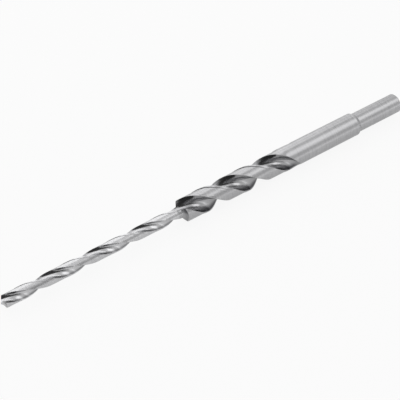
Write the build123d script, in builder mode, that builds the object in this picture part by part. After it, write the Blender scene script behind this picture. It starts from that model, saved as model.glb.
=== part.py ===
from build123d import *
from math import asin, cos, degrees, radians, sin, sqrt, tan
import os

# Step twist drill bit, right-hand, two flutes.
#
# One piece of high-speed steel.  A slim pilot drill leads, a cutting shoulder steps up to the
# body diameter, and a reduced shank fits the chuck.  The two flutes run through pilot and body
# on one lead.  The drill lies along X: the point looks towards -X, and the origin is the centre
# of the shank's end face.

# ---------------------------------------------------------------- sizes, in millimetres
body_diameter = 9.5
pilot_diameter = 5.2
shank_diameter = 8.0

overall_length = 181.0
pilot_length = 75.0         # point to the shoulder's lips, where they leave the pilot
flute_length = 120.0        # point to where the flutes begin to run out
shank_length = 21.3         # reduced part with its chamfer, up to the body's bevel

flute_lead = 38.1           # axial length of one full turn of a flute
point_angle = 118.0         # between the two lips, at the point and at the shoulder
lip_relief = 9.0            # how steeply a flank falls away behind its lip, in degrees
flank_radius = 25.0         # the flank curves down more towards the heel
web_thickness = 1.2         # of the core between the flutes, at the point
web_taper = 0.2             # the core thickens towards the shank, in degrees a side
flute_opening = 102.0       # part of the body's circle that each flute takes, in degrees

body_margin = 0.9           # width of the guiding strip behind each leading edge
body_clearance = 0.18       # depth of the land behind the strip
pilot_margin = 0.55
pilot_clearance = 0.1

wheel_radius = 15.0         # the flute's grinding wheel lifts out of the steel on this curve
run_out_length = 10.5       # axial length of that lift, to clear of the body
relief_fade_length = 4.0    # the land's relief tapers out over this length

body_bevel_angle = 30.0     # between the bevel and the axis
shank_chamfer = 0.5
cutter_overlap = 3.0        # how far cutters reach past the steel
blend_overlap = 0.2         # the run-out begins inside the flute
blend_lift = 0.02           # and this much above its floor
roll_at_rest = -21.0         # turn of the finished drill about its axis, in degrees

# ---------------------------------------------------------------- derived sizes
body_radius = body_diameter / 2
pilot_radius = pilot_diameter / 2
shank_radius = shank_diameter / 2
half_web = web_thickness / 2
half_point = radians(point_angle / 2)
cutter_radius = body_radius + cutter_overlap

point_x = -overall_length
shoulder_x = point_x + pilot_length - pilot_radius / tan(half_point)
run_out_x = point_x + flute_length
bevel_x = -shank_length
bevel_length = (body_radius - shank_radius) / tan(radians(body_bevel_angle))
cutter_start_x = point_x - cutter_overlap
shoulder_plane = Plane.YZ.offset(shoulder_x)

# The chisel edge between the flanks lies a little behind the corner that the lips point to.
chisel_drop = half_web * tan(radians(lip_relief)) / sin(half_point)
apex_x = point_x - chisel_drop


def turn_at(x):
    """Angle about the axis to which the flutes have turned at a station."""
    return roll_at_rest + 360 * (x - point_x) / flute_lead


def rake_angle(radius):
    """Angle of the cutting face in the flute's section: a straight lip, turned back by the lead."""
    lip_depth = sqrt(radius**2 - half_web**2) / tan(half_point)
    return degrees(asin(half_web / radius)) + 360 * lip_depth / flute_lead


def polar(radius, angle):
    return (radius * cos(radians(angle)), radius * sin(radians(angle)))


leading_angle = rake_angle(body_radius)
heel_angle = leading_angle + flute_opening
heel = polar(body_radius, heel_angle)
heel_wall = polar(0.57 * body_radius, heel_angle - 8)


# ---------------------------------------------------------------- sections, seen from the point
# The open space of one flute: cutting face at the right, core below, heel at the left.
rake_radii = (2 * half_web, 0.5 * body_radius, body_radius, cutter_radius)
rake_points = [polar(radius, rake_angle(radius)) for radius in rake_radii]
rake_end = rake_angle(cutter_radius)
with BuildSketch() as flute_section:
    with BuildLine():
        Spline((0, half_web), *rake_points, tangents=((1, 0), polar(1, rake_end + 15)))
        outer = CenterArc((0, 0), cutter_radius, rake_end, heel_angle - rake_end)
        Line(outer @ 1, heel)
        Spline(heel, heel_wall, (0, half_web), tangents=(polar(1, heel_angle + 190), (1, 0)))
    make_face()


def land_section(radius, margin, clearance):
    """The thin layer ground off a land, from behind its margin round to past its heel."""
    start = rake_angle(radius) - degrees(margin / radius)
    land_angle = -(180 - flute_opening)
    floor = radius - clearance
    with BuildSketch() as section:
        with BuildLine():
            inner = CenterArc((0, 0), floor, start, land_angle)
            outer = CenterArc((0, 0), floor + cutter_overlap, start, land_angle)
            Line(inner @ 0, outer @ 0)
            Line(inner @ 1, outer @ 1)
        make_face()
    return section.sketch


def section_plane(x, lift=0.0):
    """Plane across the axis, seen from the point, with its Y straight up."""
    return Plane(origin=(x, 0, lift), x_dir=(0, -1, 0), z_dir=(-1, 0, 0))


def helical_cutter(section, start_x, length, cone_angle=0.0, lift=0.0):
    """Solid that a section leaves as it moves along the lead, from straight above the axis."""
    with BuildPart() as cutter:
        with BuildLine() as path:
            Helix(
                flute_lead / cos(radians(cone_angle)),
                length,
                body_radius + lift,
                center=(start_x, 0, 0),
                direction=(1, 0, 0),
                cone_angle=cone_angle,
            )
        with BuildSketch(section_plane(start_x, lift)):
            add(section)
        sweep(path=path.line, is_frenet=True)
    return cutter.part


def flank_cutter(apex_x, radius):
    """Steel ground away in front of one lip, so that the flank behind the lip is relieved.

    The lip lies half a web ahead of the axis.  The flank is straight along the lip and curved
    across it.
    """
    reach = 2 * radius
    curve_angle = degrees(reach / flank_radius)
    falling = (-cos(radians(lip_relief)), -sin(radians(lip_relief)))
    lip_start = section_plane(apex_x).from_local_coords((0, half_web, 0))
    across = Vector(0, -1, 0) * cos(half_point) + Vector(-1, 0, 0) * sin(half_point)
    along = Vector(0, 0, 1).cross(across)
    with BuildPart() as cutter:
        with BuildSketch(Plane(origin=lip_start, x_dir=(0, 0, 1), z_dir=along)):
            with BuildLine():
                flank = JernArc((0, 0), falling, flank_radius, curve_angle)
                Polyline(flank @ 1, (-reach, reach), (reach, reach), (reach, 0), (0, 0))
            make_face()
        extrude(amount=reach, both=True)
    return cutter.part


def ground(cutter, x):
    """The cutter at both flutes or lands, half a turn apart, clocked to a station."""
    return [Rot(turn_at(x) + side, 0, 0) * cutter for side in (0, 180)]


# ---------------------------------------------------------------- pilot
pilot_land = land_section(pilot_radius, pilot_margin, pilot_clearance)
pilot_flank = flank_cutter(apex_x, pilot_radius)
pilot_relief = helical_cutter(pilot_land, cutter_start_x, pilot_length + 2 * cutter_overlap)
with BuildPart() as pilot:
    with BuildSketch(Plane.YZ.offset(point_x - 1)):
        Circle(pilot_radius)
    extrude(amount=pilot_length + body_radius)
    add(ground(pilot_flank, apex_x), mode=Mode.SUBTRACT)
    add(ground(pilot_relief, cutter_start_x), mode=Mode.SUBTRACT)

# ---------------------------------------------------------------- body and shank
body_land = land_section(body_radius, body_margin, body_clearance)
body_flank = flank_cutter(shoulder_x, body_radius)
relief_start_x = shoulder_x - cutter_overlap
relief_end_x = run_out_x + relief_fade_length
fade_radius = body_radius - 1.5 * body_clearance
with BuildPart() as body_relief:
    add(helical_cutter(body_land, relief_start_x, relief_end_x - relief_start_x))
    # Steel that the relief leaves as it tapers out.
    with BuildSketch(Plane.XZ, mode=Mode.PRIVATE) as taper:
        with BuildLine():
            Polyline(
                (run_out_x, 0),
                (run_out_x, fade_radius),
                (relief_end_x - 0.5, body_radius),
                (relief_end_x + 1, body_radius + body_clearance),
                (relief_end_x + 1, 0),
                (run_out_x, 0),
            )
        make_face()
    revolve(taper.sketch, axis=Axis.X, mode=Mode.SUBTRACT)
with BuildPart() as body:
    with BuildSketch(Plane.XZ):
        with BuildLine():
            Polyline(
                (0, 0),
                (shoulder_x, 0),
                (shoulder_x, body_radius),
                (bevel_x - bevel_length, body_radius),
                (bevel_x, shank_radius),
                (-shank_chamfer, shank_radius),
                (0, shank_radius - shank_chamfer),
                (0, 0),
            )
        make_face()
    revolve(axis=Axis.X)
    add(ground(body_flank, shoulder_x), mode=Mode.SUBTRACT)
    add(ground(body_relief.part, relief_start_x), mode=Mode.SUBTRACT)

# ---------------------------------------------------------------- flutes
flute = helical_cutter(flute_section.sketch, cutter_start_x, run_out_x - cutter_start_x, web_taper)
# Behind its full depth each flute runs out on the wheel's curve, still turning on the lead.
full_lift = (run_out_x - cutter_start_x) * tan(radians(web_taper)) + blend_lift
run_out_stations = [-blend_overlap + k * run_out_length / 8 for k in range(9)]
with BuildPart() as run_out:
    for station in run_out_stations:
        wheel_lift = wheel_radius - sqrt(wheel_radius**2 - station**2)
        plane = section_plane(run_out_x + station, full_lift + wheel_lift)
        add(Rot(360 * station / flute_lead, 0, 0) * (plane * flute_section.sketch))
    loft()
pilot_flute = split(flute, bisect_by=shoulder_plane, keep=Keep.BOTTOM)
body_flute = split(flute, bisect_by=shoulder_plane, keep=Keep.TOP)
with BuildPart() as drill_bit:
    add(pilot.part)
    add(body.part)
    for cutter in ground(pilot_flute, cutter_start_x) + ground(body_flute, cutter_start_x):
        add(cutter, mode=Mode.SUBTRACT)
    add(ground(run_out.part, run_out_x), mode=Mode.SUBTRACT)

drill_bit.part.label = "drill_bit"
os.makedirs("parts", exist_ok=True)
export_step(drill_bit.part, "parts/drill_bit.step")
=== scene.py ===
from math import cos, pi, radians, sin, sqrt

import bpy
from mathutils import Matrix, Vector

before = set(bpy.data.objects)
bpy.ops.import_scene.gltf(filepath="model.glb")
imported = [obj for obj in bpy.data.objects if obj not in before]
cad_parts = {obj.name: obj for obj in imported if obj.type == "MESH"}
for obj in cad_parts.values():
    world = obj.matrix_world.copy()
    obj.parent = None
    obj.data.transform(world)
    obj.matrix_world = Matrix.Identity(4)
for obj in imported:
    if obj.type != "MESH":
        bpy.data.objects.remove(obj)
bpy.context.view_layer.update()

bpy.ops.object.select_all(action="DESELECT")


# ---------------------------------------------------------------- the drill
# One bar of high-speed steel, hardened, then ground all over: round and round on the shank,
# the plain body and the lands, and along the twist inside the flutes.  The wheel leaves it
# bright but not mirror-like.
drill_bit = bpy.data.objects["drill_bit"]

OVERALL_LENGTH = 181.0e-3
BODY_RADIUS = 4.75e-3
PILOT_RADIUS = 2.6e-3
PILOT_LENGTH = 75.0e-3
SHOULDER_DEPTH = 1.6e-3        # the shoulder's cone carried on from the pilot to the axis
SHANK_LENGTH = 21.3e-3
BEVEL_REACH = 1.5e-3           # the 1.3 mm bevel up to the body, with a little to spare
FLUTE_LEAD = 38.1e-3
ROLL_AT_REST = radians(-21.0)
LEADING_ANGLE = radians(146.0)     # of the leading edge, on the untwisted section
SHOULDER_X = -OVERALL_LENGTH + PILOT_LENGTH - SHOULDER_DEPTH


def linear(hex_colour):
    """An sRGB hex colour as the linear values that the shaders take."""
    channels = [int(hex_colour[i:i + 2], 16) / 255 for i in (1, 3, 5)]
    return [c / 12.92 if c <= 0.04045 else ((c + 0.055) / 1.055) ** 2.4 for c in channels] + [1.0]


def add_node(material, kind, settings=None, inputs=None):
    """Add a node to a material, or to the room's world, with its settings and its inputs.

    An input is a plain value or another node's output socket.
    """
    node = material.node_tree.nodes.new(kind)
    for name, value in (settings or {}).items():
        setattr(node, name, value)
    for key, value in (inputs or {}).items():
        if isinstance(value, bpy.types.NodeSocket):
            material.node_tree.links.new(value, node.inputs[key])
        else:
            node.inputs[key].default_value = value
    return node


# Hardened high-speed steel, ground: a cool, near-neutral metal with a satin sheen that the
# grinding marks break up.
ground_steel = bpy.data.materials.new("ground_high_speed_steel")
ground_steel.use_nodes = True
steel_shader = ground_steel.node_tree.nodes["Principled BSDF"]
steel_shader.inputs["Metallic"].default_value = 1.0

place = add_node(ground_steel, "ShaderNodeTexCoord").outputs["Object"]
apart = add_node(ground_steel, "ShaderNodeSeparateXYZ", inputs={0: place})
station = apart.outputs["X"]
across = add_node(
    ground_steel, "ShaderNodeCombineXYZ", None,
    {"Y": apart.outputs["Y"], "Z": apart.outputs["Z"]},
)
radius = add_node(
    ground_steel, "ShaderNodeVectorMath", {"operation": "LENGTH"},
    {0: across.outputs[0]},
).outputs["Value"]

# The full radius at each station, and from it where the outside is: lands, margins and shank.
LAND_DEPTH = 0.25e-3           # a little more than the clearance ground off the lands
WALL_DEPTH = 0.45e-3           # past this it is flute wall, or a flank of the point or shoulder
on_body = add_node(
    ground_steel, "ShaderNodeMath", {"operation": "GREATER_THAN"},
    {0: station, 1: SHOULDER_X},
)
full_radius = add_node(
    ground_steel, "ShaderNodeMath", {"operation": "MULTIPLY_ADD"},
    {0: on_body.outputs[0], 1: BODY_RADIUS - PILOT_RADIUS, 2: PILOT_RADIUS},
)
depth = add_node(
    ground_steel, "ShaderNodeMath", {"operation": "SUBTRACT"},
    {0: full_radius.outputs[0], 1: radius},
)
near_outside = add_node(
    ground_steel, "ShaderNodeMapRange", None,
    {
        "Value": depth.outputs[0],
        "From Min": WALL_DEPTH, "From Max": LAND_DEPTH,
        "To Min": 0.0, "To Max": 1.0,
    },
)
on_shank = add_node(
    ground_steel, "ShaderNodeMath", {"operation": "GREATER_THAN"},
    {0: station, 1: -SHANK_LENGTH - BEVEL_REACH},
)
outside = add_node(
    ground_steel, "ShaderNodeMath", {"operation": "MAXIMUM"},
    {0: near_outside.outputs[0], 1: on_shank.outputs[0]},
).outputs[0]

# Both sets of marks are the same fine noise, drawn out along the way that the wheel went.
NOISE_DETAIL = 3.0
NOISE_ROUGHNESS = 0.6

# Rings left by the wheel on the outside, about 0.03 mm apart in fact and drawn at 0.4 mm.
RING_PITCH = 0.4e-3
RING_LENGTH = 12e-3
RING_FAINT = 0.25              # the noise between these two is stretched over the full range
RING_STRONG = 0.75
ring_place = add_node(
    ground_steel, "ShaderNodeMapping", None,
    {"Vector": place, "Scale": (1 / RING_PITCH, 1 / RING_LENGTH, 1 / RING_LENGTH)},
)
ring_noise = add_node(
    ground_steel, "ShaderNodeTexNoise", None,
    {"Vector": ring_place.outputs[0], "Scale": 1.0, "Detail": NOISE_DETAIL, "Roughness": NOISE_ROUGHNESS},
)
rings = add_node(
    ground_steel, "ShaderNodeMapRange", None,
    {"Value": ring_noise.outputs["Fac"], "From Min": RING_FAINT, "From Max": RING_STRONG},
).outputs[0]

# Marks along the twist inside the flutes: noise on the untwisted section, drawn 0.25 mm wide
# for scratches of about 0.03 mm.  The flanks of the point and the shoulder are given the same.
MARK_LENGTH = 9e-3
MARK_WIDTH = 0.25e-3
TURN_PER_METRE = 2 * pi / FLUTE_LEAD
TURN_AT_ORIGIN = 2 * pi * OVERALL_LENGTH / FLUTE_LEAD
untwist = add_node(
    ground_steel, "ShaderNodeMath", {"operation": "MULTIPLY_ADD"},
    {0: station, 1: -TURN_PER_METRE, 2: -TURN_AT_ORIGIN - ROLL_AT_REST},
)
section = add_node(
    ground_steel, "ShaderNodeVectorRotate", {"rotation_type": "X_AXIS"},
    {"Vector": place, "Angle": untwist.outputs[0]},
)
flow_place = add_node(
    ground_steel, "ShaderNodeMapping", None,
    {"Vector": section.outputs[0], "Scale": (1 / MARK_LENGTH, 1 / MARK_WIDTH, 1 / MARK_WIDTH)},
)
flow = add_node(
    ground_steel, "ShaderNodeTexNoise", None,
    {"Vector": flow_place.outputs[0], "Scale": 1.0, "Detail": NOISE_DETAIL, "Roughness": NOISE_ROUGHNESS},
).outputs["Fac"]

marks = add_node(
    ground_steel, "ShaderNodeMix", {"data_type": "FLOAT"},
    {"Factor": outside, 2: flow, 3: rings},
).outputs[0]

# The flutes' walls are painted darker, a painted dark reflection: more towards the edges, and most of all
# on the cutting face, behind the leading edge.
FACE_BEGINS = 0.80             # cosine of the angle from the leading edge
FACE_FULL = 0.97
AWAY_FROM_FACE = 0.45          # share of the painted dark reflection that the other walls get
EDGE_BEGINS = 0.38             # share of the full radius
EDGE_FULL = 0.85
PILOT_SHARE = 0.75             # the pilot gets less of the painted dark reflection than the body
section_way = add_node(
    ground_steel, "ShaderNodeVectorMath", {"operation": "MULTIPLY"},
    {0: section.outputs[0], 1: (0, 1, 1)},
)
section_unit = add_node(
    ground_steel, "ShaderNodeVectorMath", {"operation": "NORMALIZE"},
    {0: section_way.outputs[0]},
)
towards_face = add_node(
    ground_steel, "ShaderNodeVectorMath", {"operation": "DOT_PRODUCT"},
    {0: section_unit.outputs[0], 1: (0, cos(LEADING_ANGLE), sin(LEADING_ANGLE))},
)
face_side = add_node(
    ground_steel, "ShaderNodeMath", {"operation": "ABSOLUTE"},
    {0: towards_face.outputs["Value"]},
)
face_share = add_node(
    ground_steel, "ShaderNodeMapRange", {"interpolation_type": "SMOOTHSTEP"},
    {
        "Value": face_side.outputs[0],
        "From Min": FACE_BEGINS, "From Max": FACE_FULL,
        "To Min": AWAY_FROM_FACE, "To Max": 1.0,
    },
)
height = add_node(
    ground_steel, "ShaderNodeMath", {"operation": "DIVIDE"},
    {0: radius, 1: full_radius.outputs[0]},
).outputs[0]
near_edge = add_node(
    ground_steel, "ShaderNodeMapRange", {"interpolation_type": "SMOOTHSTEP"},
    {"Value": height, "From Min": EDGE_BEGINS, "From Max": EDGE_FULL},
)
wall = add_node(
    ground_steel, "ShaderNodeMath", {"operation": "MULTIPLY"},
    {0: face_share.outputs[0], 1: near_edge.outputs[0]},
)
inside = add_node(
    ground_steel, "ShaderNodeMath", {"operation": "SUBTRACT"},
    {0: 1.0, 1: outside},
)
wall_inside = add_node(
    ground_steel, "ShaderNodeMath", {"operation": "MULTIPLY"},
    {0: wall.outputs[0], 1: inside.outputs[0]},
)
share_here = add_node(
    ground_steel, "ShaderNodeMapRange", None,
    {"Value": on_body.outputs[0], "To Min": PILOT_SHARE, "To Max": 1.0},
)
painted_dark_reflection = add_node(
    ground_steel, "ShaderNodeMath", {"operation": "MULTIPLY"},
    {0: wall_inside.outputs[0], 1: share_here.outputs[0]},
).outputs[0]

# Outside a fine satin, inside the flutes smoother, and a little rougher where the marks are
# light.
FLUTE_ROUGHNESS = 0.15
OUTSIDE_ROUGHNESS = 0.26
MARK_ROUGHNESS = 0.10
satin = add_node(
    ground_steel, "ShaderNodeMapRange", None,
    {"Value": outside, "To Min": FLUTE_ROUGHNESS, "To Max": OUTSIDE_ROUGHNESS},
)
roughness = add_node(
    ground_steel, "ShaderNodeMath", {"operation": "MULTIPLY_ADD"},
    {0: marks, 1: MARK_ROUGHNESS, 2: satin.outputs[0]},
)
ground_steel.node_tree.links.new(roughness.outputs[0], steel_shader.inputs["Roughness"])

# The steel's tone runs between a dark and a light grey with the marks. The pilot's greys are lighter than
# the body's, a painted sheen that stands in for the brighter highlights on its lands.
BODY_DARK = "#aaaaac"
BODY_LIGHT = "#c0c0c1"
# Painted sheen: the pilot's greys are lighter than the body's.
PILOT_SHEEN_DARK = "#c0c0c2"
PILOT_SHEEN_LIGHT = "#d6d6d7"
DARK_REFLECTION_GREY = "#57575a"
body_tone = add_node(
    ground_steel, "ShaderNodeMix", {"data_type": "RGBA"},
    {"Factor": marks, 6: linear(BODY_DARK), 7: linear(BODY_LIGHT)},
)
pilot_sheen_tone = add_node(
    ground_steel, "ShaderNodeMix", {"data_type": "RGBA"},
    {"Factor": marks, 6: linear(PILOT_SHEEN_DARK), 7: linear(PILOT_SHEEN_LIGHT)},
)
plain_tone = add_node(
    ground_steel, "ShaderNodeMix", {"data_type": "RGBA"},
    {"Factor": on_body.outputs[0], 6: pilot_sheen_tone.outputs[2], 7: body_tone.outputs[2]},
)
# Painted dark reflection: the tone is mixed towards a dark grey on the flutes' walls.
tone = add_node(
    ground_steel, "ShaderNodeMix", {"data_type": "RGBA"},
    {"Factor": painted_dark_reflection, 6: plain_tone.outputs[2], 7: linear(DARK_REFLECTION_GREY)},
)
ground_steel.node_tree.links.new(tone.outputs[2], steel_shader.inputs["Base Color"])

# The marks stand up just enough to break up what the steel mirrors.
MARK_STRENGTH = 0.03
MARK_HEIGHT = 0.05e-3
relief = add_node(
    ground_steel, "ShaderNodeBump", None,
    {"Height": marks, "Strength": MARK_STRENGTH, "Distance": MARK_HEIGHT},
)
ground_steel.node_tree.links.new(relief.outputs[0], steel_shader.inputs["Normal"])

for slot in drill_bit.material_slots:
    slot.material = ground_steel


# ---------------------------------------------------------------- floor
# A plain table with a matt white top.  The drill lies on it along its body, and the thinner
# pilot and shank hang clear.
TABLE_SIZE = 4.0
FLOOR_GAP = 0.0001             # keeps the table's top just off the steel
bpy.ops.mesh.primitive_plane_add(size=TABLE_SIZE, location=(0, 0, -BODY_RADIUS - FLOOR_GAP))
floor = bpy.context.object
floor.name = "floor"
table_white = bpy.data.materials.new("matt_white_table")
table_white.use_nodes = True
table_shader = table_white.node_tree.nodes["Principled BSDF"]
table_shader.inputs["Base Color"].default_value = linear("#f4f4f4")
table_shader.inputs["Roughness"].default_value = 0.9
table_shader.inputs["Specular IOR Level"].default_value = 0.0
floor.data.materials.append(table_white)

# Seen directly the table is mixed with plain white, and less so in the steel or through
# anything clear.
WHITE_SEEN = 0.90
WHITE_IN_STEEL = 0.5
rays = add_node(table_white, "ShaderNodeLightPath")
seen_in_steel = add_node(
    table_white, "ShaderNodeMath", {"operation": "MAXIMUM"},
    {0: rays.outputs["Is Glossy Ray"], 1: rays.outputs["Is Transmission Ray"]},
)
white_in_steel = add_node(
    table_white, "ShaderNodeMath", {"operation": "MULTIPLY"},
    {0: seen_in_steel.outputs[0], 1: WHITE_IN_STEEL},
)
whitened = add_node(
    table_white, "ShaderNodeMath", {"operation": "MULTIPLY_ADD"},
    {0: rays.outputs["Is Camera Ray"], 1: WHITE_SEEN, 2: white_in_steel.outputs[0]},
)
white_light = add_node(
    table_white, "ShaderNodeEmission", None,
    {"Color": linear("#ffffff"), "Strength": 1.0},
)
table_top = add_node(
    table_white, "ShaderNodeMixShader", None,
    {0: whitened.outputs[0], 1: table_shader.outputs[0], 2: white_light.outputs[0]},
)
table_output = table_white.node_tree.nodes["Material Output"]
table_white.node_tree.links.new(table_top.outputs[0], table_output.inputs["Surface"])


# ---------------------------------------------------------------- light
# A pale room with one dark side, out past the point and towards the front, and large soft
# lamps: low and high behind the drill, over it, beyond its shank, and a weaker one in front.
world = bpy.data.worlds.new("pale_room")
bpy.context.scene.world = world
world.use_nodes = True
room_light = world.node_tree.nodes["Background"]
room_light.inputs["Color"].default_value = linear("#ffffff")

DARK_SIDE = (-0.80, -0.56, 0.21)
DARK_BEGINS = 0.20             # cosine of the angle from the dark side's middle
DARK_FULL = 0.62
ROOM_STRENGTH = 0.72
DARK_STRENGTH = 0.05
facing = add_node(world, "ShaderNodeTexCoord").outputs["Generated"]
towards_dark = add_node(
    world, "ShaderNodeVectorMath", {"operation": "DOT_PRODUCT"},
    {0: facing, 1: DARK_SIDE},
).outputs["Value"]
room_strength = add_node(
    world, "ShaderNodeMapRange", {"interpolation_type": "SMOOTHSTEP"},
    {
        "Value": towards_dark,
        "From Min": DARK_BEGINS, "From Max": DARK_FULL,
        "To Min": ROOM_STRENGTH, "To Max": DARK_STRENGTH,
    },
).outputs[0]

# Plain white is what shows past the edge of the table.
room_rays = add_node(world, "ShaderNodeLightPath")
shown_strength = add_node(
    world, "ShaderNodeMix", {"data_type": "FLOAT"},
    {"Factor": room_rays.outputs["Is Camera Ray"], 2: room_strength, 3: 1.0},
).outputs[0]
world.node_tree.links.new(shown_strength, room_light.inputs["Strength"])

DRILL_MIDDLE = Vector((-0.09, 0, 0))


def soft_lamp(name, azimuth, elevation, width, height, brightness):
    """A rectangular lamp, one metre from the drill's middle and facing it.

    Its power follows its area, so that its size doesn't change how bright it looks in the steel.
    Azimuth runs from +X towards +Y and elevation up from the table, both in degrees.
    """
    lamp = bpy.data.lights.new(name, "AREA")
    lamp.shape = "RECTANGLE"
    lamp.size = width
    lamp.size_y = height
    lamp.energy = brightness * pi * width * height
    holder = bpy.data.objects.new(name, lamp)
    bpy.context.collection.objects.link(holder)
    direction = Vector((
        cos(radians(elevation)) * cos(radians(azimuth)),
        cos(radians(elevation)) * sin(radians(azimuth)),
        sin(radians(elevation)),
    ))
    holder.location = DRILL_MIDDLE + direction
    holder.rotation_euler = (-direction).to_track_quat("-Z", "Y").to_euler()


soft_lamp("lamp_low_behind", azimuth=84, elevation=16, width=1.0, height=0.5, brightness=0.8)
soft_lamp("lamp_high_behind", azimuth=84, elevation=48, width=1.1, height=0.45, brightness=0.8)
soft_lamp("lamp_over", azimuth=150, elevation=78, width=0.5, height=0.5, brightness=0.7)
soft_lamp("lamp_beyond_shank", azimuth=334, elevation=55, width=0.6, height=0.45, brightness=0.9)
soft_lamp("lamp_in_front", azimuth=295, elevation=5, width=1.0, height=0.35, brightness=0.5)


# ---------------------------------------------------------------- camera
# It stands about 0.4 m away, in front of the drill and a little towards the point, and looks
# down on it at about 50 degrees.
VIEW_ELEVATION = radians(49.65)
TO_AXIS = radians(68.95)           # between the line of sight and the drill's axis
CENTRE_FROM_POINT = 0.0842254      # to the place on the axis that the camera is set by
DISTANCE = 0.4075
IMAGE_PIXELS = 400
FOCAL_PIXELS = 1072.3
SENSOR_WIDTH = 36.0
PIXELS_BELOW_CENTRE = 1.9          # where that place shows in the image
NEAR_LIMIT = 0.01
camera_data = bpy.data.cameras.new("camera")
camera = bpy.data.objects.new("camera", camera_data)
bpy.context.collection.objects.link(camera)
bpy.context.scene.camera = camera
target = Vector((-OVERALL_LENGTH + CENTRE_FROM_POINT, 0, 0))
toward = Vector((
    -cos(TO_AXIS),
    -sqrt(1 - cos(TO_AXIS) ** 2 - sin(VIEW_ELEVATION) ** 2),
    sin(VIEW_ELEVATION),
))
camera_data.sensor_width = SENSOR_WIDTH
camera_data.lens = FOCAL_PIXELS / IMAGE_PIXELS * SENSOR_WIDTH
camera_data.clip_start = NEAR_LIMIT
aim = (-toward).to_track_quat("-Z", "Y")
camera.rotation_euler = aim.to_euler()
up = aim @ Vector((0, 1, 0))
raised = PIXELS_BELOW_CENTRE / FOCAL_PIXELS * DISTANCE
camera.location = target + toward * DISTANCE + up * raised

view = bpy.context.scene.view_settings
view.view_transform = "Standard"
